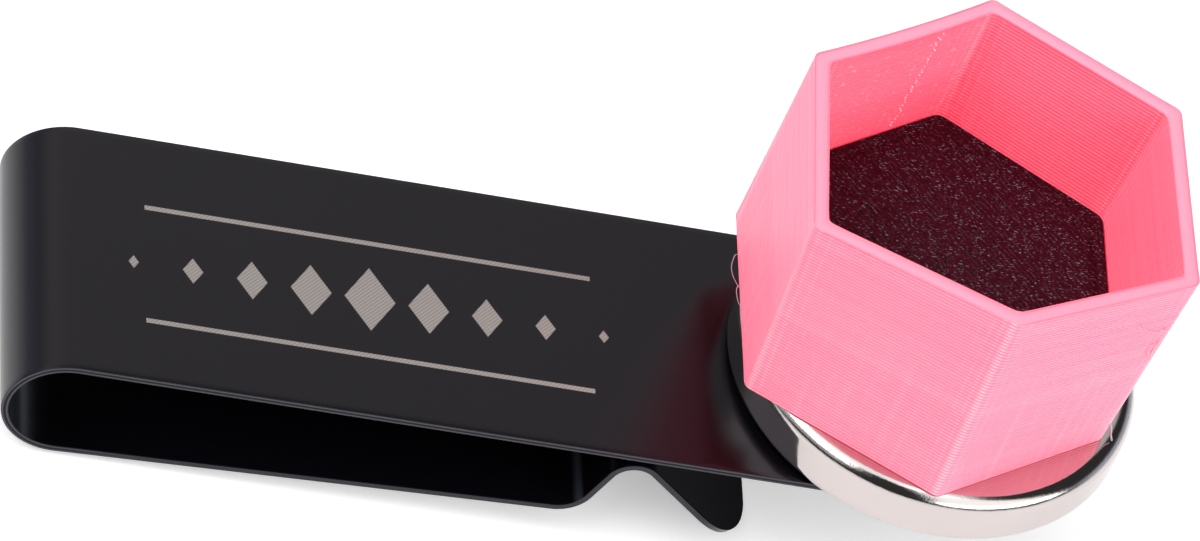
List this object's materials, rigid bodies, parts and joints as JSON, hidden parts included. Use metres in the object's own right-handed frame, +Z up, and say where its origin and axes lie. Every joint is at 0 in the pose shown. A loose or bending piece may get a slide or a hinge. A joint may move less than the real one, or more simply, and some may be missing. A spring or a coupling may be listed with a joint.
{
  "type": "chalk holder",
  "caption": "Belt-clip chalk holder: a sprung strip clip carries a plated disc magnet, and a printed hexagonal cup with a magnet in its base sits on the disc and lifts off.",
  "frame": {"origin": "under the middle of the part's outline, on the surface the clip lies on", "axes": "+X along the clip from the bend to the magnet, +Y across the strip, +Z up out of the plate"},
  "size_m": [0.087, 0.0333, 0.0349],
  "materials": {
    "clip_black": "satin black coating on spring steel",
    "nickel_plate": "bright nickel plating",
    "cup_pink": "printed in fine layers",
    "plug_black": "printed, glossy"
  },
  "bodies": {
    "leg": {"clip_leg": "clip_black"},
    "plate": {"clip_plate": "clip_black"},
    "magnet": {"magnet_disc": "nickel_plate"},
    "cup": {"cup_shell": "cup_pink", "keeper_magnet": "nickel_plate", "floor_plug": "plug_black"}
  },
  "joints": [
    {"name": "clip_flex", "type": "hinge", "parent": "leg", "child": "plate", "pos_m": [-0.04354, 0, 0.00522], "axis": [0, -1, 0], "range_deg": [0, 6], "stiffness_Nm_per_rad": 1.5},
    {"name": "magnet_turn", "type": "hinge", "parent": "plate", "child": "magnet", "pos_m": [0.02766, 0, 0.0101], "axis": [0, 0, 1], "continuous": true},
    {"name": "cup_lift", "type": "slide", "parent": "magnet", "child": "cup", "axis": [0, 0, 1], "range_m": [0, 0.04]}
  ]
}
